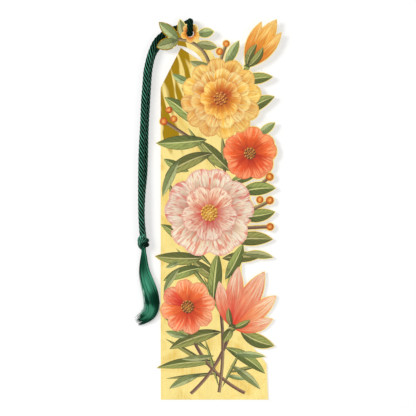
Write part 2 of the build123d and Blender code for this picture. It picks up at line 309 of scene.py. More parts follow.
def petalPaintGroup():
    inputs = {"Deep": "Color", "Body": "Color", "Pale": "Color", "Vein": "Color", "Start": "Float",
              "Reach": "Float", "Streaks": "Float", "Flecks": "Float", "Tips": "Float"}
    tree, given, put = newGroup("petalPaint", inputs, {"Color": "Color", "Height": "Float"})
    place, along, side, fromMid, tone, seed = brushPlaces(tree, petalBrush)
    lane = times(tree, side, given["Streaks"])
    streakPlace = joinXyz(tree, times(tree, along, petalBrush["long"]), lane, seed)
    broad = cloud(tree, streakPlace, petalBrush["broad"], 2.0, 0.5)
    fine = cloud(tree, streakPlace, petalBrush["fine"], 3.0, 0.5)
    blotch = cloud(tree, place, petalBrush["blotch"], 3.0, 0.4)

    wander = scaled(tree, broad, 0.8, -0.4)
    rootward = ease(tree, plus(tree, along, wander), given["Start"], given["Reach"], 1.0, 0.0)
    paint = mixTint(tree, rootward, given["Body"], given["Deep"])
    flick = scaled(tree, fine, 1.2, -0.6)
    tipward = ease(tree, plus(tree, along, flick), 0.5, 1.05)
    tipward = times(tree, tipward, given["Tips"])
    paint = mixTint(tree, tipward, paint, given["Pale"])

    line = ease(tree, calc(tree, "ABSOLUTE", calc(tree, "SUBTRACT", fine, 0.5)), 0.0, 0.045, 0.55, 0.0)
    line = times(tree, line, ease(tree, along, 0.05, 0.4))
    paint = mixTint(tree, line, paint, given["Vein"])
    flecksAlong, flecksAcross = petalBrush["flecks"]
    fleckPlace = joinXyz(tree, times(tree, along, flecksAlong), times(tree, side, flecksAcross), seed)
    fleck = ease(tree, cloud(tree, fleckPlace, 1.0, 1.0, 0.3), 0.54, 0.66)
    fleck = times(tree, fleck, ease(tree, along, 0.3, 0.62))
    fleck = times(tree, fleck, given["Flecks"])
    paint = mixTint(tree, fleck, paint, given["Vein"])

    fold = ease(tree, plus(tree, fromMid, scaled(tree, blotch, 0.8, -0.4)), 0.62, 1.0)
    fold = times(tree, fold, ease(tree, along, 1.0, 0.35, 0.1, 0.55))
    paint = mixTint(tree, fold, paint, given["Deep"])
    rim = ease(tree, calc(tree, "MAXIMUM", fromMid, along), 0.93, 0.99, 0.0, 0.4)
    paint = mixTint(tree, rim, paint, given["Vein"])
    tree.links.new(tonedPaint(tree, paint, tone, blotch, petalBrush), put["Color"])
    tree.links.new(plus(tree, times(tree, broad, 0.6), times(tree, fine, 0.4)), put["Height"])
    return tree


# Painted leaves: a midrib, side veins, one half lit and dark accents
leafBrush = {"seed": 29.0, "streaks": (2.2, 9.0), "fine": 0.8, "blotch": 380.0, "veinSlant": 1.7,
             "hueSwing": 0.05, "valueSwing": 0.24, "blotchValue": 0.3, "value": 0.74}


def leafPaintGroup():
    inputs = {"Dark": "Color", "Body": "Color", "Light": "Color", "Rib": "Color", "Veins": "Float"}
    tree, given, put = newGroup("leafPaint", inputs, {"Color": "Color", "Height": "Float"})
    place, along, side, fromMid, tone, seed = brushPlaces(tree, leafBrush)
    streaksAlong, streaksAcross = leafBrush["streaks"]
    streakPlace = joinXyz(tree, times(tree, along, streaksAlong), times(tree, side, streaksAcross), seed)
    streak = cloud(tree, streakPlace, leafBrush["fine"], 3.0, 0.6)
    blotch = cloud(tree, place, leafBrush["blotch"], 3.0, 0.5)

    turned = plus(tree, side, scaled(tree, streak, 0.9, -0.45))
    lit = ease(tree, turned, 0.35, 0.75, 0.0, 0.8)
    paint = mixTint(tree, lit, given["Body"], given["Light"])
    depth = plus(tree, scaled(tree, blotch, 1.4, -0.7), calc(tree, "SUBTRACT", 1.0, along))
    paint = mixTint(tree, ease(tree, depth, 0.45, 1.2, 0.0, 0.85), paint, given["Dark"])
    lean = times(tree, fromMid, leafBrush["veinSlant"])
    slant = calc(tree, "SUBTRACT", times(tree, along, given["Veins"]), lean)
    rung = calc(tree, "ABSOLUTE", calc(tree, "SUBTRACT", calc(tree, "FRACT", slant), 0.5))
    paint = mixTint(tree, ease(tree, rung, 0.0, 0.13, 0.5, 0.0), paint, given["Dark"])
    paint = mixTint(tree, ease(tree, fromMid, 0.03, 0.13, 0.85, 0.0), paint, given["Rib"])
    rim = ease(tree, fromMid, 0.8, 0.98, 0.0, 0.6)
    paint = mixTint(tree, rim, paint, given["Dark"])
    tree.links.new(tonedPaint(tree, paint, tone, blotch, leafBrush), put["Color"])
    tree.links.new(calc(tree, "SUBTRACT", streak, ease(tree, fromMid, 0.0, 0.12, 0.5, 0.0)), put["Height"])
    return tree


petalPaint = petalPaintGroup()
leafPaint = leafPaintGroup()
inkFinish = {"roughness": 0.42, "specular": 0.35, "bump": 0.25, "bumpDepth": 0.00004, "smoothTo": 38}


def inkMaterial(name, group, values):
    made, tree, shader = newMaterial(name)
    paint = addNode(tree, "Group", values, node_tree=group).outputs
    tree.links.new(paint["Color"], shader.inputs["Base Color"])
    relief = addNode(tree, "Bump", {"Height": paint["Height"], "Strength": inkFinish["bump"],
                                    "Distance": inkFinish["bumpDepth"]})
    tree.links.new(relief.outputs[0], shader.inputs["Normal"])
    shader.inputs["Roughness"].default_value = inkFinish["roughness"]
    shader.inputs["Specular IOR Level"].default_value = inkFinish["specular"]
    return made


# Modelling helpers
def deselect():
    if bpy.context.object and bpy.context.object.mode != "OBJECT":
        bpy.ops.object.mode_set(mode="OBJECT")
    bpy.ops.object.select_all(action="DESELECT")


def markTone(piece):  # each sheet and bead has a tone of its own
    mark = piece.data.attributes.new("tone", "FLOAT", "POINT")
    mark.data.foreach_set("value", [dice.random()] * len(piece.data.vertices))


def layGrid(along, across, placeAt):  # placeAt(i, j) gives a corner's place, i along and j across
    deselect()
    bpy.ops.mesh.primitive_grid_add(x_subdivisions=along, y_subdivisions=across, size=2)
    blank = bpy.context.object
    for corner in blank.data.vertices:
        i = round((corner.co.x + 1) / 2 * along)
        j = round((corner.co.y + 1) / 2 * across)
        corner.co = placeAt(i, j)
    markTone(blank)
    return blank


def joinAll(name, parts):
    deselect()
    for part in parts:
        part.select_set(True)
    bpy.context.view_layer.objects.active = parts[0]
    bpy.ops.object.join()
    piece = bpy.context.object
    piece.name = name
    piece.data.name = name
    return piece


def thicken(piece):  # sheets grow down to the metal
    bpy.context.view_layer.objects.active = piece
    bpy.ops.object.mode_set(mode="EDIT")
    bpy.ops.mesh.select_all(action="SELECT")
    bpy.ops.mesh.remove_doubles(threshold=plate["weld"])
    bpy.ops.mesh.extrude_region_move(TRANSFORM_OT_translate={"value": (0, 0, -1)})
    bpy.ops.transform.resize(value=(1, 1, 0), center_override=(0, 0, -plate["sunk"]))
    bpy.ops.mesh.select_all(action="SELECT")
    bpy.ops.mesh.normals_make_consistent(inside=False)
    bpy.ops.object.mode_set(mode="OBJECT")


def finishPrint(piece, node, slot, material):
    bpy.ops.object.shade_smooth_by_angle(angle=math.radians(inkFinish["smoothTo"]))
    piece.data.transform(onPlate)
    piece.data.materials.clear()
    piece.data.materials.append(material)
    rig.ride(piece, "plate")
    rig.replaces(piece, node)
    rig.slot(piece, slot)


def printPiece(name, node, slot, sheets, material):
    piece = joinAll(name, sheets)
    thicken(piece)
    finishPrint(piece, node, slot, material)


def roundAbout(centre, out, turn):  # x and y at a distance and an angle from a centre
    return centre[0] + out * math.cos(turn), centre[1] + out * math.sin(turn)


def arcPlaces(start, via, end, count):  # even places on the arc through three points
    first, middle, last = Vector(start), Vector(via), Vector(end)
    toMiddle = middle - first
    toLast = last - first
    spin = 2 * (toMiddle.x * toLast.y - toMiddle.y * toLast.x)
    near = toMiddle.length_squared
    far = toLast.length_squared
    reach = Vector((toLast.y * near - toMiddle.y * far, toMiddle.x * far - toLast.x * near)) / spin
    centre = first + reach
    angle = math.atan2(-reach.y, -reach.x)
    sweep = (math.atan2(last.y - centre.y, last.x - centre.x) - angle) % (2 * math.pi)
    if spin < 0:
        sweep -= 2 * math.pi
    turns = [angle + sweep * n / count for n in range(count + 1)]
    return [centre + reach.length * Vector((math.cos(turn), math.sin(turn))) for turn in turns]


def bowedEdge(start, end, bulge, count):  # an arc that bulges to the left of its way
    first, last = Vector(start), Vector(end)
    way = (last - first).normalized()
    return arcPlaces(first, (first + last) / 2 + Vector((-way.y, way.x)) * bulge, last, count)


petalForm = {"root": 0.9, "base": 0.5, "along": 20, "across": 14, "dome": 0.055, "crown": (0.15, 0.75),
             "lean": 0.016, "ruffle": 0.02, "frill": 0.1, "wobble": 0.8, "teeth": 3.0, "shoulder": 0.8,
             "sideBow": 0.12, "tipBow": 0.12}


def petalSheet(centre, ring, turn, lift):
    along, across = petalForm["along"], petalForm["across"]
    root, base = petalForm["root"], petalForm["base"]
    half = ring["width"] / 2
    length = ring["length"]
    notch = ring.get("notch", 0.0)
    shoulder = length - petalForm["shoulder"] * half
    left = bowedEdge((root, base), (shoulder, half), petalForm["sideBow"] * (shoulder - root), along)
    tipMiddle = (length - petalForm["tipBow"] * half, half / 2)
    halfTip = arcPlaces((length - notch, 0), tipMiddle, (shoulder, half), across // 2)
    tip = [Vector((place.x, -place.y)) for place in reversed(halfTip[1:])] + halfTip
    phase = dice.uniform(0, 2 * math.pi)
    teeth = ring.get("teeth", petalForm["teeth"])
    spin = Matrix.Rotation(math.radians(turn + dice.uniform(-1, 1) * petalForm["wobble"]), 2)
    crownFrom, crownSpan = petalForm["crown"]

    def placeAt(i, j):
        s = i / along
        w = j / across
        t = 2 * w - 1
        right = Vector((left[i].x, -left[i].y))
        sides = right * (1 - w) + left[i] * w
        foot = Vector((root, base * t))
        corners = foot * (1 - s) + Vector((shoulder, half * t)) * s
        place = foot * (1 - s) + tip[j] * s + sides - corners
        place.x += petalForm["frill"] * s**4 * (1 - t * t) * math.sin(phase + teeth * math.pi * t)
        crown = (1 - t * t) * math.sin(math.pi * (crownFrom + crownSpan * s))
        wave = s**3 * math.sin(phase + 2 * teeth * t)
        rise = lift + petalForm["dome"] * crown + petalForm["lean"] * t + petalForm["ruffle"] * wave
        return *(Vector(centre) + spin @ place), rise

    return layGrid(along, across, placeAt)


def ringPiece(name, node, slot, centre, ring, lift, material):
    count = ring["count"]
    sheets = [petalSheet(centre, ring, ring["turn"] + 360 * n / count, lift) for n in range(count)]
    printPiece(name, node, slot, sheets, material)


bladeForm = {"along": 20, "across": 10, "dome": 0.07, "crease": 0.035, "creaseShare": 4, "swell": 0.7,
             "step": 0.004, "bossRise": 0.02, "bossDome": 0.05}


def bladeSheet(foot, tip, left, right, lift, crease):
    along, across = bladeForm["along"], bladeForm["across"]
    leftEdge = bowedEdge(foot, tip, left, along)
    rightEdge = bowedEdge(foot, tip, -right, along)

    def placeAt(i, j):
        w = j / across
        t = 2 * w - 1
        place = rightEdge[i] * (1 - w) + leftEdge[i] * w
        groove = max(0.0, 1 - abs(t) * bladeForm["creaseShare"]) * crease
        crown = (1 - t * t) * bladeForm["dome"] - groove
        return place.x, place.y, lift + math.sin(math.pi * i / along) ** bladeForm["swell"] * crown

    return layGrid(along, across, placeAt)


def fanBlades(foot, fan):  # blades from one foot at their own angles, back ones first
    return [(foot, roundAbout(foot, length, math.radians(angle)), left, right)
            for angle, length, left, right in reversed(fan)]


def bladePiece(name, node, slot, blades, lift, material, crease=0.0, extra=()):
    sheets = [bladeSheet(*blade, lift + n * bladeForm["step"], crease) for n, blade in enumerate(blades)]
    printPiece(name, node, slot, sheets + list(extra), material)


spotForm = {"rings": 6, "sides": 24, "edge": 0.96}


def roundSheet(centre, radius, lift, dome):  # a domed spot
    rings, sides = spotForm["rings"], spotForm["sides"]

    def placeAt(i, j):
        share = 1 - i / rings
        rise = lift + dome * math.sqrt(max(0.0, 1 - share * share * spotForm["edge"]))
        return *roundAbout(centre, radius * share, 2 * math.pi * j / sides), rise

    return layGrid(rings, sides, placeAt)


# Rows of beads from the outside in: the least number, and shares of the heart's count, reach and lobe
heartForm = {"bed": 0.08, "rowStep": 0.03, "flat": 0.22,
             "rows": [(0, 1.0, 1.0, 1.0), (5, 0.66, 0.62, 0.86), (3, 0.3, 0.28, 0.76)]}


def bead(centre, radius, lift):
    deselect()
    bpy.ops.mesh.primitive_ico_sphere_add(subdivisions=2, radius=radius, location=(*centre, lift),
                                          scale=(1, 1, heartForm["flat"]))
    bpy.ops.object.transform_apply(location=True, rotation=False, scale=True)
    made = bpy.context.object
    markTone(made)
    return made


def heartPiece(name, node, slot, centre, heart, lift, material):
    bed = roundSheet(centre, heart["reach"], lift, heartForm["bed"])
    thicken(bed)
    parts = [bed]
    for n, (least, countShare, reachShare, lobeShare) in enumerate(heartForm["rows"]):
        beads = max(least, round(heart["count"] * countShare))
        for k in range(beads):
            place = roundAbout(centre, heart["reach"] * reachShare, 2 * math.pi * (k + 0.5 * n) / beads)
            parts.append(bead(place, heart["lobe"] * lobeShare, lift + heartForm["rowStep"] * n))
    finishPrint(joinAll(name, parts), node, slot, material)


def flowerPieces(name, flower, rings, heart):  # rings of petals from the outside in, then the heart
    for n, (band, node, slot) in enumerate(rings):
        ink = inkMaterial(name + "Ink" + band.title(), petalPaint, flower[band + "Paint"])
        ringPiece(name + "Petals" + band.title(), node, slot, flower["centre"], flower[band],
                  flower["lift"] + n * flower["ringStep"], ink)
    ink = inkMaterial(name + "HeartInk", petalPaint, flower["heartPaint"])
    heartPiece(*heart, flower["centre"], flower["heart"],
               flower["lift"] + len(rings) * flower["ringStep"], ink)


# Golden dahlia
dahlia = {"centre": (1.6, 100.2), "lift": 0.24, "ringStep": 0.07,
          "outer": {"count": 12, "length": 13.4, "width": 6.6, "turn": 8},
          "middle": {"count": 11, "length": 10.2, "width": 5.4, "turn": 22},
          "inner": {"count": 8, "length": 7.0, "width": 4.6, "turn": 0},
          "heart": {"count": 9, "reach": 1.9, "lobe": 0.6},
          "outerPaint": {"Deep": "BE6214", "Body": "F0A834", "Pale": "FCE38C", "Vein": "CE7E26",
                         "Start": 0.55, "Reach": 1.0, "Streaks": 9.0, "Tips": 0.75},
          "middlePaint": {"Deep": "C26416", "Body": "F3B03C", "Pale": "FDEBA2", "Vein": "D08428",
                          "Start": 0.45, "Reach": 0.95, "Streaks": 8.0, "Tips": 0.8},
          "innerPaint": {"Deep": "B24C14", "Body": "F29E30", "Pale": "FDDA80", "Vein": "C2661C",
                         "Start": 0.2, "Reach": 0.9, "Streaks": 7.0, "Tips": 0.8},
          "heartPaint": {"Deep": "7A3210", "Body": "CF7A26", "Pale": "F4C05C", "Vein": "8E3E14",
                         "Reach": 0.6, "Streaks": 5.0, "Tips": 0.6}}
dahliaRings = (("outer", "dahlia_outer", "ink_gold"), ("middle", "dahlia_middle", "ink_gold"),
               ("inner", "dahlia_inner", "ink_amber"))
flowerPieces("dahlia", dahlia, dahliaRings, ("dahliaHeartFlorets", "dahlia_heart", "ink_amber"))
print("dahlia made")

# Blush rose
rose = {"centre": (-2.2, 62.2), "lift": 0.14, "ringStep": 0.075,
        "outer": {"count": 5, "length": 15.4, "width": 15.8, "turn": 18, "notch": 1.2, "teeth": 5.0},
        "inner": {"count": 5, "length": 9.6, "width": 8.8, "turn": 54, "notch": 0.5, "teeth": 4.0},
        "heart": {"count": 13, "reach": 2.4, "lobe": 0.55},
        "outerPaint": {"Deep": "B98A72", "Body": "EBD3B0", "Pale": "FAEFD8", "Vein": "DB5E48", "Start": 0.4,
                       "Reach": 0.85, "Streaks": 15.0, "Flecks": 0.7, "Tips": 0.75},
        "innerPaint": {"Deep": "CC4A36", "Body": "F0C8A6", "Pale": "FBEAD0", "Vein": "CF4634", "Start": 0.1,
                       "Reach": 0.8, "Streaks": 12.0, "Flecks": 0.6, "Tips": 0.8},
        "heartPaint": {"Deep": "A45A14", "Body": "E0A63A", "Pale": "FBE08A", "Vein": "A9621A",
                       "Reach": 0.5, "Streaks": 5.0, "Tips": 0.7}}
roseRings = (("outer", "rose_petals", "ink_blush"), ("inner", "rose_inner", "ink_blush"))
flowerPieces("rose", rose, roseRings, ("roseStamens", "rose_heart", "ink_gold"))
print("rose made")

# Coral poppy and anemone
coral = {"poppyCentre": (11.3, 82.0), "poppyLift": 0.19,
         "poppy": {"count": 5, "length": 9.2, "width": 9.4, "turn": 20, "notch": 0.5, "teeth": 5.0},
         "poppyHeart": {"count": 10, "reach": 1.6, "lobe": 0.5},
         "anemoneCentre": (-9.4, 31.0), "anemoneLift": 0.17,
         "anemone": {"count": 8, "length": 9.2, "width": 6.2, "turn": 10},
         "anemoneEye": {"count": 11, "reach": 1.8, "lobe": 0.5}, "heartStep": 0.07,
         "poppyPaint": {"Deep": "A8200A", "Body": "F0501F", "Pale": "FFAC78", "Vein": "BE2C10",
                        "Reach": 0.85, "Streaks": 11.0, "Tips": 0.75},
         "anemonePaint": {"Deep": "BC2A0E", "Body": "F56636", "Pale": "FFC698", "Vein": "CC3A18",
                          "Reach": 0.85, "Streaks": 9.0, "Flecks": 0.2, "Tips": 0.8},
         "heartPaint": {"Deep": "4A2410", "Body": "B86C24", "Pale": "F0BE58", "Vein": "5E2E12",
                        "Reach": 0.7, "Streaks": 5.0, "Tips": 0.6}}
heartInk = inkMaterial("stamenInk", petalPaint, coral["heartPaint"])
for flower, heart, node in (("poppy", "poppyHeart", "poppy_heart"), ("anemone", "anemoneEye", "anemone_eye")):
    ink = inkMaterial(flower + "Ink", petalPaint, coral[flower + "Paint"])
    centre = coral[flower + "Centre"]
    ringPiece(flower + "Petals", flower + "_petals", "ink_coral", centre, coral[flower],
              coral[flower + "Lift"], ink)
    heartPiece(flower + "Stamens", node, "ink_amber", centre, coral[heart],
               coral[flower + "Lift"] + coral["heartStep"], heartInk)
print("poppy and anemone made")

# Green paint for calyxes and leaves
greens = {"leafPaint": {"Dark": "24260F", "Body": "5E642A", "Light": "A9AC5C", "Rib": "D8D08C", "Veins": 7.0},
          "sagePaint": {"Dark": "404B26", "Body": "7F8A50", "Light": "C8CC8E", "Rib": "4A4A26", "Veins": 6.0},
          "stemPaint": {"Dark": "35251C", "Body": "6A4C3A", "Light": "AC916A", "Rib": "866A4E", "Veins": 3.0}}
leafInk = inkMaterial("leafInk", leafPaint, greens["leafPaint"])
sageInk = inkMaterial("sageInk", leafPaint, greens["sagePaint"])
stemInk = inkMaterial("stemInk", leafPaint, greens["stemPaint"])

# Peach lily and golden bud, each a fan of petals in a calyx
lily = {"foot": (5.4, 24.0), "boss": 1.3, "lift": 0.1, "cupLift": 0.19,
        "fan": [(60, 21.5, 3.5, 3.5), (36, 18.0, 2.6, 3.4), (84, 20.6, 3.4, 2.6), (12, 13.8, 1.6, 3.2),
                (106, 16.6, 3.0, 1.8)],
        "cup": [(238, 5.6, 1.5, 1.5), (24, 6.6, 0.6, 1.5), (100, 6.8, 1.5, 0.6)],
        "paint": {"Deep": "E0481E", "Body": "F7A878", "Pale": "FEE8C6", "Vein": "DC4C28",
                  "Reach": 0.7, "Streaks": 10.0, "Flecks": 0.3, "Tips": 0.9}}
bud = {"foot": (10.2, 110.6), "boss": 1.0, "lift": 0.1, "cupLift": 0.19,
       "fan": [(58, 18.6, 3.1, 3.1), (45, 16.2, 1.7, 2.7), (72, 15.8, 2.7, 1.7)],
       "cup": [(51, 8.6, 0.6, 2.1), (66, 8.4, 2.1, 0.6), (240, 6.0, 0.9, 0.9)],
       "paint": {"Deep": "C65A14", "Body": "F0A038", "Pale": "FBD988", "Vein": "C0601A",
                 "Reach": 0.8, "Streaks": 8.0, "Tips": 0.85}}
for name, flower, slot in (("lily", lily, "ink_peach"), ("bud", bud, "ink_amber")):
    foot, cupLift = flower["foot"], flower["cupLift"]
    ink = inkMaterial(name + "Ink", petalPaint, flower["paint"])
    bladePiece(name + "Petals", name + "_petals", slot, fanBlades(foot, flower["fan"]), flower["lift"], ink)
    boss = roundSheet(foot, flower["boss"], cupLift + bladeForm["bossRise"], bladeForm["bossDome"])
    bladePiece(name + "Calyx", name + "_calyx", "ink_leaf", fanBlades(foot, flower["cup"]), cupLift,
               leafInk, bladeForm["crease"], [boss])
print("lily and bud made")

# Leaves, berries and stems
foliage = {"longLeaves": [((-6.0, 91.0), (-17.2, 100.6), 1.4, 3.0), ((-3.0, 86.6), (-19.8, 85.4), 2.8, 2.0),
                          ((-1.0, 82.0), (-17.0, 74.4), 1.2, 3.4), ((9.0, 94.6), (19.4, 100.8), 2.8, 1.2),
                          ((8.0, 106.0), (18.8, 107.4), 2.0, 1.6), ((8.0, 69.0), (19.8, 70.4), 2.8, 1.6),
                          ((8.0, 61.0), (19.6, 62.6), 1.6, 2.6), ((5.0, 53.0), (18.8, 53.4), 2.8, 1.8),
                          ((-8.0, 50.0), (-18.4, 58.4), 1.0, 2.6), ((-4.0, 47.4), (-20.2, 47.8), 2.8, 1.6),
                          ((-4.0, 44.0), (-17.6, 39.6), 1.2, 2.6), ((-1.0, 32.0), (0.6, 49.0), 2.6, 2.2),
                          ((3.0, 40.0), (9.0, 52.0), 1.6, 2.4), ((8.0, 23.0), (19.4, 18.0), 1.4, 3.0),
                          ((2.0, 22.6), (-15.6, 16.8), 1.2, 3.2), ((3.0, 17.4), (16.4, 8.6), 2.8, 1.0),
                          ((0.0, 12.6), (-19.6, 10.6), 1.0, 2.4), ((5.0, 76.0), (-5.6, 86.4), 2.4, 2.0),
                          ((2.0, 39.0), (-8.4, 47.0), 2.2, 1.6), ((4.0, 72.0), (14.6, 76.0), 1.6, 1.6),
                          ((-9.0, 76.0), (-17.4, 80.2), 1.8, 1.2), ((2.0, 47.0), (14.6, 47.4), 2.2, 1.4)],
           "smallLeaves": [((3.0, 111.0), (7.6, 119.4), 1.5, 1.5), ((0.0, 110.0), (-8.8, 112.6), 1.8, 1.0),
                           ((-12.0, 80.0), (-17.8, 67.6), 1.0, 2.0), ((14.0, 88.0), (19.6, 92.2), 1.3, 1.3),
                           ((-5.0, 8.4), (-15.6, 3.6), 0.8, 1.9), ((5.0, 11.4), (14.8, 3.4), 1.8, 0.8),
                           ((9.0, 48.6), (19.0, 47.4), 1.6, 0.9), ((-12.0, 44.0), (-17.4, 35.6), 0.6, 1.6),
                           ((6.0, 15.2), (16.4, 14.4), 1.3, 0.9), ((-8.0, 105.0), (-14.6, 108.4), 1.6, 1.0),
                           ((-0.6, 14.6), (-11.6, 13.6), 1.2, 0.8), ((-9.6, 21.0), (-16.8, 22.8), 1.3, 0.9),
                           ((-11.6, 46.6), (-16.8, 44.0), 1.1, 0.7), ((3.4, 8.0), (9.6, 6.6), 0.9, 0.6)],
           "headLeaves": [((-12.4, 119.8), (-18.8, 125.4), 1.6, 1.6),
                          ((-12.4, 119.6), (-19.6, 117.4), 1.9, 1.7),
                          ((-10.6, 119.4), (-12.0, 126.4), 1.3, 1.5),
                          ((-6.2, 121.6), (-0.8, 122.4), 1.5, 1.5), ((-6.6, 118.4), (0.4, 117.2), 1.5, 1.4)],
           "grasses": [((-9.0, 52.0), (-16.4, 74.0), 0.9, 1.3), ((3.0, 74.0), (2.0, 88.0), 0.8, 1.0),
                       ((0.0, 77.0), (-9.4, 90.6), 0.9, 0.8), ((-2.0, 36.0), (-13.4, 50.6), 0.6, 0.9),
                       ((0.0, 10.0), (-17.0, 20.4), 0.7, 0.9), ((2.0, 9.0), (-16.8, 7.0), 0.7, 0.6),
                       ((4.0, 9.0), (14.6, 11.4), 0.7, 0.6), ((1.0, 4.0), (-3.8, 20.6), 0.5, 0.6),
                       ((2.0, 4.0), (8.6, 17.0), 0.6, 0.5), ((-2.0, 16.0), (-17.4, 27.4), 0.8, 1.0),
                       ((3.0, 26.0), (-4.2, 41.0), 0.8, 0.6), ((-4.0, 92.0), (-11.6, 104.0), 0.7, 0.9),
                       ((-1.0, 44.0), (-11.0, 54.0), 0.8, 0.8), ((3.0, 30.0), (5.6, 46.0), 0.6, 0.8)],
           "longLift": 0.03, "smallLift": 0.09, "headLift": 0.09, "grassLift": 0.008, "grassStep": 0.0012}
grassSheets = [bladeSheet(*blade, foliage["grassLift"] + foliage["grassStep"] * n, 0.0)
               for n, blade in enumerate(foliage["grasses"])]
for kind, slot, ink, extra in (("long", "ink_leaf", leafInk, grassSheets), ("small", "ink_sage", sageInk, []),
                               ("head", "ink_sage", sageInk, [])):
    bladePiece(kind + "LeafBlades", kind + "_leaves", slot, foliage[kind + "Leaves"][::-1],
               foliage[kind + "Lift"], ink, bladeForm["crease"], extra)

twigs = {"width": 1.1, "lift": 0.02, "step": 0.003, "along": 24, "across": 6, "dome": 0.08,
         "arcs": [((-9.4, 25.0), (-1.8, 11.0), (9.6, 2.2)), ((5.4, 25.0), (0.0, 12.0), (-8.4, 2.0)),
                  ((0.6, 36.0), (2.2, 22.0), (1.0, 2.4)), ((9.4, 109.0), (7.8, 104.6), (5.0, 100.0)),
                  ((-2.0, 110.0), (-4.8, 116.4), (-12.6, 119.8)), ((8.0, 68.0), (13.0, 70.6), (17.6, 74.0)),
                  ((1.0, 110.0), (2.0, 114.4), (3.4, 118.0)), ((-7.0, 86.0), (-12.4, 89.6), (-17.2, 92.6)),
                  ((8.0, 63.0), (13.4, 64.0), (17.8, 66.4)), ((8.0, 57.0), (13.0, 57.4), (18.0, 57.6))]}


def twigSheet(arc, lift):
    along, across = twigs["along"], twigs["across"]
    middle = arcPlaces(*arc, along)

    def placeAt(i, j):
        way = (middle[min(i + 1, along)] - middle[max(i - 1, 0)]).normalized()
        side = Vector((-way.y, way.x)) * twigs["width"] / 2
        t = 2 * j / across - 1
        return *(middle[i] + side * t), lift + twigs["dome"] * (1 - t * t)

    return layGrid(along, across, placeAt)


twigSheets = [twigSheet(arc, twigs["lift"] + twigs["step"] * n) for n, arc in enumerate(twigs["arcs"])]
printPiece("stemTwigs", "stems", "ink_stem", twigSheets, stemInk)

fruit = {"lift": 0.1, "dome": 0.16,
         "spots": [((-17.4, 92.6), 1.3), ((-14.0, 93.4), 1.2), ((-15.6, 96.4), 1.1), ((17.8, 74.2), 1.3),
                   ((17.9, 66.4), 1.3), ((14.6, 66.6), 1.2), ((1.2, 115.8), 1.2), ((3.4, 118.4), 1.1),
                   ((18.0, 57.6), 1.2)],
         "paint": {"Deep": "B4480F", "Body": "EE9730", "Pale": "FBD27A", "Vein": "C25C16",
                   "Reach": 0.7, "Streaks": 6.0, "Tips": 0.8}}
berryInk = inkMaterial("berryInk", petalPaint, fruit["paint"])
berrySheets = [roundSheet(spot, radius, fruit["lift"], fruit["dome"]) for spot, radius in fruit["spots"]]
printPiece("berrySpots", "berries", "ink_amber", berrySheets, berryInk)

# Blossom round the cord's eye, its petals open in the middle
blossom = {"eye": (-8.6, 121.8), "petals": 5, "firstTurn": -90, "hole": 1.27, "reach": 1.9, "round": 1.297,
           "lift": 0.16, "step": 0.003, "grid": 12, "dome": 0.06, "crown": (0.1, 0.8),
           "paint": {"Deep": "C8641A", "Body": "F2A83C", "Pale": "FCE08E", "Vein": "C26A1C",
                     "Reach": 0.6, "Streaks": 7.0, "Tips": 0.85}}


def blossomSheet(n):
    grid, reach, hole = blossom["grid"], blossom["reach"], blossom["hole"]
    turn = math.radians(blossom["firstTurn"] + 360 * n / blossom["petals"])
    wide = math.radians(180 / blossom["petals"])
    lift = blossom["lift"] + blossom["step"] * n
    crownFrom, crownSpan = blossom["crown"]

    def placeAt(i, j):
        s = i / grid
        t = 2 * j / grid - 1
        angle = t * wide
        sideways = reach * math.sin(angle)
        outer = reach * math.cos(angle) + math.sqrt(max(0.0, blossom["round"]**2 - sideways**2))
        rise = lift + blossom["dome"] * (1 - t * t) * math.sin(math.pi * (crownFrom + crownSpan * s))
        return *roundAbout(blossom["eye"], hole + (outer - hole) * s, turn + angle), rise

    return layGrid(grid, grid, placeAt)


blossomInk = inkMaterial("blossomInk", petalPaint, blossom["paint"])
blossomSheets = [blossomSheet(n) for n in range(blossom["petals"])]
printPiece("eyeBlossom", "head_blossom", "ink_amber", blossomSheets, blossomInk)
print("leaves, berries, stems and blossom made")

# Gilt brass of the plate: brushed along its length, a little warped, with a painted reflection of dark streaks towards
# the upper left
gilt = {"bright": "F7E190", "warm": "E6C366", "deep": "A27F18", "roughness": (0.16, 0.3),
        "brush": (2600.0, 70.0, 900.0), "stain": 130.0, "streak": (2.8 * mm, 19.0 * mm, 1.0), "slant": 17.5,
        "warp": 55.0, "warpDepth": 0.0004, "scratch": 0.6, "scratchDepth": 0.000004,
        "reflectionFrom": (-5.0, 74.0), "reflectionTo": (-14.0, 104.0)}


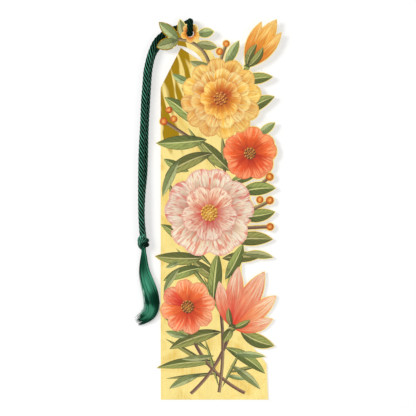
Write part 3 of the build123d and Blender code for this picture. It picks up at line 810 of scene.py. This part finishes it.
def giltMaterial():
    made, tree, shader = newMaterial("giltBrass")
    coords = addNode(tree, "TexCoord").outputs
    place = coords["Object"]
    grain = addNode(tree, "Mapping", {"Vector": place, "Scale": gilt["brush"]}).outputs[0]
    brush = cloud(tree, grain, 1.0, 4.0)
    wide = cloud(tree, place, gilt["warp"], 2.0, 0.3)
    stain = cloud(tree, place, gilt["stain"], 4.0, 0.8)
    share = ease(tree, plus(tree, stain, scaled(tree, brush, 0.5, -0.25)), 0.45, 0.75)
    metal = mixTint(tree, share, gilt["bright"], gilt["warm"])
    # Painted reflection: dark slanted streaks, as of dark surroundings mirrored in the gilt, on the front towards the
    # upper left
    spot = addNode(tree, "SeparateXYZ", {0: place}).outputs
    reflectionFrom, reflectionTo = [onPlate @ Vector((*gilt[end], 0)) for end in ("reflectionFrom", "reflectionTo")]
    leftward = ease(tree, spot[0], reflectionTo.x, reflectionFrom.x, 1.0, 0.0)
    upward = ease(tree, spot[1], reflectionFrom.y, reflectionTo.y)
    lean = (0, 0, math.radians(gilt["slant"]))
    band = addNode(tree, "Mapping", {"Vector": place, "Rotation": lean, "Scale": gilt["streak"]},
                   vector_type="TEXTURE").outputs[0]
    front = ease(tree, addNode(tree, "SeparateXYZ", {0: coords["Normal"]}).outputs[2], 0.2, 0.6)
    corner = times(tree, times(tree, leftward, upward), front)
    reflectionMask = scaled(tree, corner, 0.2, cloud(tree, band, 1.0, 1.0, 0.4))
    reflectionMask = times(tree, ease(tree, reflectionMask, 0.59, 0.67), ease(tree, corner, 0.0, 0.4))
    metal = mixTint(tree, reflectionMask, metal, gilt["deep"])
    tree.links.new(metal, shader.inputs["Base Color"])
    tree.links.new(ease(tree, brush, 0.3, 0.7, *gilt["roughness"]), shader.inputs["Roughness"])
    warp = addNode(tree, "Bump", {"Height": wide, "Strength": 1.0, "Distance": gilt["warpDepth"]})
    scratch = addNode(tree, "Bump", {"Height": brush, "Strength": gilt["scratch"],
                                     "Distance": gilt["scratchDepth"], "Normal": warp.outputs[0]})
    tree.links.new(scratch.outputs[0], shader.inputs["Normal"])
    shader.inputs["Metallic"].default_value = 1.0
    return made


sheetMetal = frame["nodes"]["gilt_plate"]
sheetMetal.data.materials.clear()
sheetMetal.data.materials.append(giltMaterial())
print("gilt laid")


# Cord: satin yarns on tubes, u along the yarn and v round it
satin = {"fibreLong": 0.35, "seed": 90.0, "bump": 0.5, "bumpDepth": 0.00008, "smoothTo": 60}


def satinGroup():
    # Shine and Glint are painted highlight colours; Shade colours dark fibres and the painted shade
    inputs = {"Shade": "Color", "Body": "Color", "Shine": "Color", "Glint": "Color", "Fibres": "Float",
              "GrooveShade": "Float", "RidgeHighlight": "Float"}
    tree, given, put = newGroup("satinYarn", inputs, {"Color": "Color", "Height": "Float", "Gloss": "Float"})
    uv = addNode(tree, "SeparateXYZ", {0: addNode(tree, "TexCoord").outputs["UV"]}).outputs
    tone, crest, paintedSheen = [meshValue(tree, name) for name in ("tone", "crest", "paintedSheen")]
    ring = times(tree, uv[1], 2 * math.pi)
    ringX, ringY = [times(tree, calc(tree, wave, ring), given["Fibres"]) for wave in ("SINE", "COSINE")]
    lengthwise = plus(tree, times(tree, uv[0], satin["fibreLong"]), times(tree, tone, satin["seed"]))
    fibre = cloud(tree, joinXyz(tree, lengthwise, ringX, ringY), 1.0, 3.0, 0.2)
    paint = mixTint(tree, ease(tree, fibre, 0.3, 0.52, 0.8, 0.0), given["Body"], given["Shade"])
    # Painted highlight: each strand's crest and a high painted sheen lighten the yarn to Shine, the brightest to Glint
    ridgeHighlight = times(tree, ease(tree, crest, 0.8, 1.0), given["RidgeHighlight"])
    lit = plus(tree, scaled(tree, fibre, 0.7, ridgeHighlight), paintedSheen)
    paint = mixTint(tree, ease(tree, lit, 0.4, 1.2), paint, given["Shine"])
    paint = mixTint(tree, ease(tree, lit, 1.45, 2.1), paint, given["Glint"])
    value = scaled(tree, tone, 0.6, 0.7)
    shade = addNode(tree, "HueSaturation", {"Value": value, "Color": paint}).outputs[0]
    # Painted shade: the grooves between strands and a low painted sheen darken the yarn to Shade
    groove = times(tree, ease(tree, crest, 0.45, 0.98, 1.0, 0.0), given["GrooveShade"])
    sheenShade = ease(tree, paintedSheen, -0.6, 0.1, 0.9, 0.0)
    shade = mixTint(tree, calc(tree, "MAXIMUM", groove, sheenShade), shade, given["Shade"])
    tree.links.new(shade, put["Color"])
    tree.links.new(fibre, put["Height"])
    glossy = times(tree, ease(tree, crest, 0.3, 0.95), ease(tree, paintedSheen, -0.5, 0.3))
    tree.links.new(glossy, put["Gloss"])
    return tree


satinYarn = satinGroup()


def satinMaterial(name, values, gloss):  # the shine takes the yarn's own colour, as silk does
    made, tree, shader = newMaterial(name)
    yarn = addNode(tree, "Group", values, node_tree=satinYarn).outputs
    tree.links.new(yarn["Color"], shader.inputs["Base Color"])
    tree.links.new(ease(tree, yarn["Gloss"], 0.0, 1.0, *gloss["roughness"]), shader.inputs["Roughness"])
    relief = addNode(tree, "Bump", {"Height": yarn["Height"], "Strength": satin["bump"],
                                    "Distance": satin["bumpDepth"]})
    tree.links.new(relief.outputs[0], shader.inputs["Normal"])
    shader.inputs["Specular IOR Level"].default_value = gloss["level"]
    shader.inputs["Specular Tint"].default_value = tint(gloss["tint"])
    return made


def routePlaces(points, fineness):  # the smooth line that has a route's points as its control points
    curve = bpy.data.curves.new("route", "CURVE")
    curve.dimensions = "3D"
    curve.resolution_u = fineness
    spline = curve.splines.new("NURBS")
    spline.points.add(len(points) - 1)
    for knotPoint, place in zip(spline.points, points):
        knotPoint.co = (*place, 1)
    spline.order_u = 3
    spline.use_endpoint_u = True
    carrier = bpy.data.objects.new("route", curve)
    bpy.context.scene.collection.objects.link(carrier)
    bpy.context.view_layer.update()
    line = bpy.data.meshes.new_from_object(carrier)
    places = [Vector(corner.co) for corner in line.vertices]
    bpy.data.objects.remove(carrier)
    bpy.data.meshes.remove(line)
    bpy.data.curves.remove(curve)
    return [place for n, place in enumerate(places) if not n or (place - places[n - 1]).length > 1e-6]


def walkedLengths(places):
    walked = [0.0]
    for a, b in zip(places, places[1:]):
        walked.append(walked[-1] + (b - a).length)
    return walked


def sideFrames(places):  # a side way for each place that turns as little as it can
    ends = zip(places[:1] + places[:-1], places[1:] + places[-1:])
    ways = [(ahead - behind).normalized() for behind, ahead in ends]
    side = ways[0].orthogonal().normalized()
    frames = []
    for way in ways:
        side = (side - way * side.dot(way)).normalized()
        frames.append((side, way.cross(side)))
    return frames


# Closed yarns that carry their tone, what faces out, and their painted sheen, which set painted highlights and painted
# shade on the satin
def tubesPiece(name, yarns, sides, material):
    corners, faces, marks, tones, crests, paintedSheens = [], [], [], [], [], []
    for yarn in yarns:
        places = yarn["line"]
        start = len(corners)
        walked = walkedLengths(places)
        for n, (place, (side, up)) in enumerate(zip(places, sideFrames(places))):
            radius = yarn["radius"] * (1 - yarn.get("taper", 0.0) * (n / (len(places) - 1)) ** 3) * mm
            for k in range(sides):
                turn = 2 * math.pi * k / sides
                way = side * math.cos(turn) + up * math.sin(turn)
                corners.append(place + way * radius)
                marks.append(walked[n] / mm)
                tones.append(yarn["tone"])
                # crest, how far a point faces out of its strand, places painted ridge highlights and painted groove
                # shade; a yarn with no out is all painted shade
                crests.append(way.dot(yarn["out"][n]) if yarn["out"] else -1.0)
                paintedSheens.append(yarn["paintedSheen"][n])
        for n in range(len(places) - 1):
            low = start + n * sides
            for k in range(sides):
                j = (k + 1) % sides
                faces.append((low + k, low + j, low + sides + j, low + sides + k))
        faces.append(tuple(start + k for k in reversed(range(sides))))
        faces.append(tuple(start + (len(places) - 1) * sides + k for k in range(sides)))
    mesh = bpy.data.meshes.new(name)
    mesh.from_pydata(corners, [], faces)
    sheet = mesh.uv_layers.new(name="UVMap")
    for face in mesh.polygons:
        turns = [(vertex % sides) / sides for vertex in face.vertices]
        wraps = max(turns) - min(turns) > 0.5 and len(turns) == 4
        for loop, vertex, turn in zip(face.loop_indices, face.vertices, turns):
            sheet.data[loop].uv = (marks[vertex], turn + 1 if wraps and turn == 0 else turn)
    for label, values in (("tone", tones), ("crest", crests), ("paintedSheen", paintedSheens)):
        mark = mesh.attributes.new(label, "FLOAT", "POINT")
        mark.data.foreach_set("value", values)
    piece = bpy.data.objects.new(name, mesh)
    bpy.context.scene.collection.objects.link(piece)
    mesh.materials.append(material)
    deselect()
    piece.select_set(True)
    bpy.context.view_layer.objects.active = piece
    bpy.ops.object.shade_smooth_by_angle(angle=math.radians(satin["smoothTo"]))
    return piece


# Route of the two legs' middle (u, v) and how far the outer leg leans over the inner one, in degrees
cord = {"diameter": 2.1, "gap": 0.06, "strands": 6, "strandRadius": 0.31, "lay": 9.0, "fineness": 24,
        "sides": 8, "coreShare": 0.95, "toneStep": 0.37,
        "tails": [(-12.4, 122.7, 0), (-16.2, 121.4, 0), (-19.1, 119.0, 34), (-20.75, 116.4, 66)],
        "legs": [(-21.6, 114.2, 72), (-22.25, 111.6, 70), (-22.75, 108.7, 66), (-23.0, 105.0, 68),
                 (-23.4, 99.5, 62), (-23.8, 91.0, 69), (-24.15, 83.0, 58), (-24.3, 75.5, 60),
                 (-24.7, 68.5, 80), (-24.8, 62.0, 89), (-24.6, 58.0, 89), (-24.2, 53.7, 86)],
        "cutBeforeBend": 3.6, "bendReach": 3.5, "turnFrom": 0.7, "turnTo": 7.5, "sheen": 0.08,
        "headShade": -0.35, "shadeFrom": 115.0, "shadeTo": 119.5,
        "paint": {"Shade": "010503", "Body": "083A27", "Shine": "62B496", "Glint": "96DCC0", "Fibres": 1.4,
                  "GrooveShade": 1.0, "RidgeHighlight": 0.75},
        "gloss": {"level": 0.22, "tint": "8ADCBA", "roughness": (0.85, 0.3)}}
cordSatin = satinMaterial("cordSatin", cord["paint"], cord["gloss"])


def legRoutes():
    route = cord["tails"] + cord["legs"]
    spacing = cord["diameter"] + cord["gap"]
    inner, outer = [], []
    for n, (u, v, lean) in enumerate(route):
        ahead = Vector(route[min(n + 1, len(route) - 1)][:2])
        behind = Vector(route[max(n - 1, 0)][:2])
        way = (ahead - behind).normalized()
        lean = math.radians(lean)
        side = Vector((way.y, -way.x)) * (spacing / 2 * math.cos(lean))
        rest = cord["diameter"] / 2
        inner.append(onTable(u - side.x, v - side.y, rest))
        outer.append(onTable(u + side.x, v + side.y, rest + spacing * math.sin(lean)))
    return inner, outer


loopLow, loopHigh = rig.box("cord_loop")
cordRadius = cord["diameter"] / 2 * mm
holeX = (loopLow.x + loopHigh.x) / 2
holeY = loopLow.y + cordRadius
edgeY = loopHigh.y - cordRadius
archTop = loopHigh.z - cordRadius
innerRoute, outerRoute = legRoutes()
overEye = [Vector((holeX, y, z)) for y, z in ((holeY, cordRadius), (holeY, archTop),
                                              (edgeY, archTop), (edgeY, cordRadius))]
cordLine = routePlaces(innerRoute[::-1] + overEye + outerRoute, cord["fineness"])
joints = {joint["name"]: joint for joint in frame["joints"]}
bendPlace = Vector(joints["cord_lift"]["pos_m"])
bendWay = Vector((0, 0, 1)).cross(Vector(joints["cord_lift"]["axis"])).normalized()
if bendWay.y > 0:
    bendWay = -bendWay
cutPlace = bendPlace - bendWay * cord["cutBeforeBend"] * mm
middle = len(cordLine) // 2
beforeCut = [n for n in range(middle) if (cordLine[n] - cutPlace).dot(bendWay) > 0]
afterCut = [n for n in range(middle, len(cordLine)) if (cordLine[n] - cutPlace).dot(bendWay) > 0]
innerCut, outerCut = max(beforeCut), min(afterCut)


def twistYarns(places, first, last, form, sheen):  # strands laid round a core that is all painted shade, showing dark between them
    frames = sideFrames(places)
    walked = walkedLengths(places)
    wind = form["diameter"] / 2 - form["strandRadius"]
    paintedSheens = [sheen(place) for place in places[first:last + 1]]
    yarns = [{"line": places[first:last + 1], "radius": wind * cord["coreShare"], "out": None, "tone": 0.5,
              "paintedSheen": paintedSheens}]
    for k in range(form["strands"]):
        line, out = [], []
        for n in range(first, last + 1):
            turn = 2 * math.pi * (k / form["strands"] - walked[n] / mm / form["lay"])
            side, up = frames[n]
            way = side * math.cos(turn) + up * math.sin(turn)
            line.append(places[n] + way * wind * mm)
            out.append(way)
        yarns.append({"line": line, "radius": form["strandRadius"], "out": out,
                      "tone": k * cord["toneStep"] % 1, "paintedSheen": paintedSheens})
    return yarns


def cordSheen(place):  # painted sheen beside the plate, painted shade under the head
    v = (place.y - layoutFoot.y) / mm
    share = (v - cord["shadeFrom"]) / (cord["shadeTo"] - cord["shadeFrom"])
    return cord["sheen"] + (cord["headShade"] - cord["sheen"]) * min(1.0, max(0.0, share))


def ropePiece(name, first, last):
    return tubesPiece(name, twistYarns(cordLine, first, last, cord, cordSheen), cord["sides"], cordSatin)


innerRope = ropePiece("cordLegInner", 0, innerCut)
rootRope = ropePiece("cordLoopRope", innerCut, outerCut)
outerRope = ropePiece("cordLegOuter", outerCut, len(cordLine) - 1)
print("cord twisted,", len(cordLine), "places")

# Knot: two wraps of cord drawn tight round the legs; rows give place, half width, half height and rise
knot = {"rows": [(-24.3, 54.8, 1.3, 2.1, 2.2), (-24.2, 53.8, 1.9, 2.15, 2.2), (-24.1, 52.3, 2.1, 2.15, 2.2),
                 (-24.05, 50.7, 1.75, 1.75, 1.97), (-24.05, 49.9, 1.0, 1.1, 1.75)],
        "diameter": 1.5, "strands": 6, "strandRadius": 0.25, "lay": 4.6, "turns": 1.3, "slant": 0.75,
        "points": 26, "fineness": 6, "core": 0.9, "topInset": 0.5, "bottomInset": 0.7, "leastHalf": 0.25,
        "phase": 0.4, "middle": (-24.1, 52.3), "sheen": -0.1, "sheenFall": (-0.38, 0.28)}


def rowAt(rows, v):  # rows from the top down, blended between their neighbours
    for above, below in zip(rows, rows[1:]):
        if v >= below[1]:
            share = (above[1] - v) / (above[1] - below[1])
            return [a + (b - a) * max(0.0, share) for a, b in zip(above, below)]
    return list(rows[-1])


def wrapRoute(phase):
    top = knot["rows"][0][1] - knot["topInset"]
    bottom = knot["rows"][-1][1] + knot["bottomInset"]
    points = []
    for n in range(knot["points"] + 1):
        share = n / knot["points"]
        turn = phase + 2 * math.pi * knot["turns"] * share
        v = top + (bottom - top) * share + knot["slant"] * math.sin(turn)
        row = rowAt(knot["rows"], v)
        wide, high = [max(knot["leastHalf"], half - knot["diameter"] / 2) for half in row[2:4]]
        points.append(onTable(row[0] + wide * math.cos(turn), v, row[4] + high * math.sin(turn)))
    return points


def knotSheen(place):  # painted highlight at the upper left, painted shade at the lower right
    away = (place - onTable(*knot["middle"])) / mm
    return knot["sheen"] + away.x * knot["sheenFall"][0] + away.y * knot["sheenFall"][1]


# The knot's core faces up: painted groove shade darkens its sides and underside
coreLine = routePlaces([onTable(row[0], row[1], row[4]) for row in knot["rows"][:-1]], knot["fineness"])
knotYarns = [{"line": coreLine, "radius": knot["core"], "out": [Vector((0, 0, 1))] * len(coreLine),
              "tone": 0.5, "paintedSheen": [0.0] * len(coreLine)}]
for phase in (knot["phase"], knot["phase"] + math.pi):
    places = routePlaces(wrapRoute(phase), knot["fineness"])
    knotYarns += twistYarns(places, 0, len(places) - 1, knot, knotSheen)
knotPiece = tubesPiece("knotWraps", knotYarns, cord["sides"], cordSatin)
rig.ride(knotPiece, "cord")
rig.replaces(knotPiece, "knot")
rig.slot(knotPiece, "cord_satin")
print("knot tied")

# Skirt of floss: rows give place, half width, half height, rise, and the painted sheen at the left and right side,
# painted highlight where high and painted shade where low
skirt = {"rows": [(-24.08, 51.2, 0.75, 0.75, 1.85, 0.1, 0.1), (-24.05, 49.4, 0.8, 0.75, 1.75, 0.15, 0.3),
                  (-24.0, 47.4, 1.15, 0.95, 1.5, -0.3, 0.35), (-24.0, 45.0, 1.5, 1.15, 1.4, -0.35, 0.4),
                  (-23.75, 42.4, 1.95, 1.4, 1.5, 0.05, 0.6), (-23.0, 39.6, 2.4, 1.65, 1.75, 0.5, 0.9),
                  (-22.05, 36.8, 2.75, 1.7, 1.9, 1.05, 0.3), (-21.5, 34.6, 2.95, 1.5, 1.7, 0.8, -0.5),
                  (-21.25, 32.4, 3.05, 1.2, 1.35, 0.45, -0.8), (-21.25, 30.4, 2.95, 1.05, 1.15, 1.9, -0.4),
                  (-22.1, 28.4, 2.6, 0.95, 1.05, 1.8, -0.1), (-24.5, 26.7, 2.1, 0.8, 0.9, 0.2, -0.2),
                  (-26.7, 25.7, 1.6, 0.6, 0.75, 0.0, -0.1)],
         "fineness": 8, "points": 32, "sides": 4, "thick": 0.1, "offTable": 0.12, "taper": 0.5, "twist": -0.9,
         "waves": 6.0, "wayStep": 3, "locks": 25, "strandsPerLock": 17, "lockTurn": 2.4, "lockOut": 0.82,
         "lockWide": 0.15, "lockReach": (0.95, 1.0), "lockBend": (-0.12, 0.12), "lockRipple": (0.04, 0.1),
         "shortest": 0.9, "sheenDrift": 0.3, "strandDrift": 0.4, "toneFrom": -0.45, "lockTones": 1.45,
         "strandTones": 0.4, "strays": 30, "strayOut": (0.7, 0.95), "strayReach": (0.88, 1.0),
         "strayRipple": (0.05, 0.16), "strayBend": (-0.3, 0.3), "bendFrom": 0.6, "bendTo": 5.5,
         "paint": {"Shade": "010D08", "Body": "0A4D34", "Shine": "62CCA2", "Glint": "A6E6D2", "Fibres": 1.0,
                   "GrooveShade": 0.5, "RidgeHighlight": 0.0},
         "gloss": {"level": 0.3, "tint": "79E0B8", "roughness": (0.8, 0.28)}}
flossSatin = satinMaterial("flossSatin", skirt["paint"], skirt["gloss"])
brushLine = routePlaces([onTable(row[0], row[1], row[4]) for row in skirt["rows"]], skirt["fineness"])


def brushAt(share):  # place, side way and the blended row along the brush
    last = len(brushLine) - 1
    low = min(int(share * last), last - 1)
    place = brushLine[low].lerp(brushLine[low + 1], share * last - low)
    ahead = brushLine[min(low + skirt["wayStep"], last)]
    way = (ahead - brushLine[max(low - skirt["wayStep"], 0)]).normalized()
    side = Vector((-way.y, way.x, 0)).normalized()
    return place, side, rowAt(skirt["rows"], (place.y - layoutFoot.y) / mm)


def flossYarn(turn, out, reach, ripple, bend, tone, drift):
    line, outs, paintedSheens = [], [], []
    for n in range(skirt["points"] + 1):
        share = n / skirt["points"]
        place, side, row = brushAt(min(1.0, reach * share))
        wide, high = row[2:4]
        leftSheen, rightSheen = row[5:]
        angle = turn + skirt["twist"] * share
        wave = ripple * share * math.sin(skirt["waves"] * share + turn)
        across = out * math.cos(angle) + wave + bend * share**3
        offset = side * wide * mm * across + Vector((0, 0, 1)) * high * mm * out * math.sin(angle)
        spot = place + offset
        spot.z = max(spot.z, skirt["offTable"] * mm)
        line.append(spot)
        # outs set painted shade on the inner strands; the painted sheen blends from the row's left value to its right
        # one
        outs.append(offset.normalized())
        paintedSheens.append(leftSheen + (rightSheen - leftSheen) * (across + 1) / 2 + drift)
    return {"line": line, "radius": skirt["thick"], "taper": skirt["taper"], "out": outs, "tone": tone,
            "paintedSheen": paintedSheens}


flossYarns = []
for lock in range(skirt["locks"]):
    lockTurn = skirt["lockTurn"] * lock
    lockOut = math.sqrt((lock + 0.5) / skirt["locks"]) * skirt["lockOut"]
    lockReach = dice.uniform(*skirt["lockReach"])
    lockBend = dice.uniform(*skirt["lockBend"])
    lockRipple = dice.uniform(*skirt["lockRipple"])
    lockTone = skirt["toneFrom"] + skirt["lockTones"] * dice.random()
    lockDrift = dice.uniform(-1, 1) * skirt["sheenDrift"]
    for strand in range(skirt["strandsPerLock"]):
        angle = dice.uniform(0, 2 * math.pi)
        spread = skirt["lockWide"] * math.sqrt(dice.random())
        across = lockOut * math.cos(lockTurn) + spread * math.cos(angle)
        above = lockOut * math.sin(lockTurn) + spread * math.sin(angle)
        reach = lockReach * dice.uniform(skirt["shortest"], 1.0) ** 0.5
        tone = lockTone + skirt["strandTones"] * dice.random()
        drift = lockDrift + dice.uniform(-1, 1) * skirt["strandDrift"]
        turn, out = math.atan2(above, across), math.hypot(across, above)
        flossYarns.append(flossYarn(turn, out, reach, lockRipple, lockBend, tone, drift))
for stray in range(skirt["strays"]):
    turn = dice.uniform(0, 2 * math.pi)
    spans = [dice.uniform(*skirt["stray" + span]) for span in ("Out", "Reach", "Ripple", "Bend")]
    flossYarns.append(flossYarn(turn, *spans, dice.random(), 0.0))
flossPiece = tubesPiece("skirtFloss", flossYarns, skirt["sides"], flossSatin)
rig.replaces(flossPiece, "skirt")
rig.slot(flossPiece, "cord_satin")
swayPlace = Vector(joints["skirt_sway"]["pos_m"])
downWay = Vector((0, -1, 0)) * mm
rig.blend(flossPiece, "cord", "skirt", swayPlace - downWay * skirt["bendFrom"],
         swayPlace + downWay * skirt["bendTo"])
print("skirt brushed")

# The cord bends at the eye and where it leaves the head
bendHalf = bendWay * cord["bendReach"] * mm
for rope, node in ((innerRope, "cord_leg_inner"), (outerRope, "cord_leg_outer")):
    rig.blend(rope, "tails", "cord", bendPlace - bendHalf, bendPlace + bendHalf)
    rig.replaces(rope, node)
    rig.slot(rope, "cord_satin")
pivot = Vector(joints["cord_swing"]["pos_m"])
leftWay = Vector((-1, 0, 0)) * mm
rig.blend(rootRope, "plate", "tails", pivot + leftWay * cord["turnFrom"], pivot + leftWay * cord["turnTo"])
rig.replaces(rootRope, "cord_loop", "cord_tail_inner", "cord_tail_outer")
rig.slot(rootRope, "cord_satin")

innerPath = cordLine[:innerCut + 1][::-1]
outerPath = cordLine[outerCut:]
rootPath = cordLine[innerCut:outerCut + 1]
innerLength, outerLength, rootLength = [walkedLengths(path)[-1] for path in (innerPath, outerPath, rootPath)]
print("cord lengths", round(innerLength, 4), round(outerLength, 4), round(rootLength, 4))
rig.cord(innerRope, exit=innerPath[0], length=innerLength, diameter=cord["diameter"] * mm, far_end="knot",
        stiffness="limp", lay="loose", path=innerPath)
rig.cord(outerRope, exit=outerPath[0], length=outerLength, diameter=cord["diameter"] * mm, far_end="knot",
        stiffness="limp", lay="loose", path=outerPath, with_pieces=[knotPiece, flossPiece])
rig.cord(rootRope, exit=rootPath[0], length=rootLength, diameter=cord["diameter"] * mm, far_end="object",
        stiffness="limp", lay="loose", path=rootPath)

# White table, soft light from the upper left
studio = {"table": 1.6, "tableDown": -0.00003, "tableTint": (0.5, 0.5, 0.5, 1.0), "tableRough": 0.9,
          "tableGlow": 0.54, "sky": 0.38, "white": (1, 1, 1, 1),
          "key": {"place": (-0.42, 0.22, 0.5), "size": 0.24, "power": 3.2},
          "fill": {"place": (0.35, -0.35, 0.6), "size": 0.5, "power": 1.2}}
deselect()
bpy.ops.mesh.primitive_grid_add(x_subdivisions=2, y_subdivisions=2, size=studio["table"],
                                location=(0, 0, studio["tableDown"]))
table = bpy.context.object
table.name = "tableTop"
tableMatt, tableTree, tableShader = newMaterial("tableWhite")
tableShader.inputs["Base Color"].default_value = studio["tableTint"]
tableShader.inputs["Roughness"].default_value = studio["tableRough"]
tableShader.inputs["Specular IOR Level"].default_value = 0.0
table.data.materials.append(tableMatt)
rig.stage(table)


def seenDirectly(tree):  # 1 for the camera and for what metal and glass show
    rays = addNode(tree, "LightPath").outputs
    seen = calc(tree, "MAXIMUM", rays["Is Camera Ray"], rays["Is Glossy Ray"])
    return calc(tree, "MAXIMUM", seen, rays["Is Transmission Ray"])


tableShader.inputs["Emission Color"].default_value = studio["white"]
glow = times(tableTree, seenDirectly(tableTree), studio["tableGlow"])
tableTree.links.new(glow, tableShader.inputs["Emission Strength"])

world = bpy.data.worlds.new("studioWorld")
bpy.context.scene.world = world
world.use_nodes = True
sky = world.node_tree
backdrop = sky.nodes["Background"]
strength = addNode(sky, "MapRange", {0: seenDirectly(sky), 1: 0.0, 2: 1.0, 3: studio["sky"], 4: 1.0})
sky.links.new(strength.outputs[0], backdrop.inputs["Strength"])
backdrop.inputs["Color"].default_value = studio["white"]

for name in ("key", "fill"):
    lamp = bpy.data.lights.new(name + "Lamp", "AREA")
    lamp.size = studio[name]["size"]
    lamp.energy = studio[name]["power"]
    holder = bpy.data.objects.new(name + "Lamp", lamp)
    bpy.context.scene.collection.objects.link(holder)
    holder.location = studio[name]["place"]
    holder.rotation_euler = (-Vector(studio[name]["place"])).to_track_quat("-Z", "Y").to_euler()
bpy.context.scene.view_settings.view_transform = "Standard"
print("studio lit")

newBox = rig.bounds()
with open("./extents.json", "w") as sizes:
    json.dump({"cad": [list(corner) for corner in cadBox], "visual": [list(corner) for corner in newBox]}, sizes)
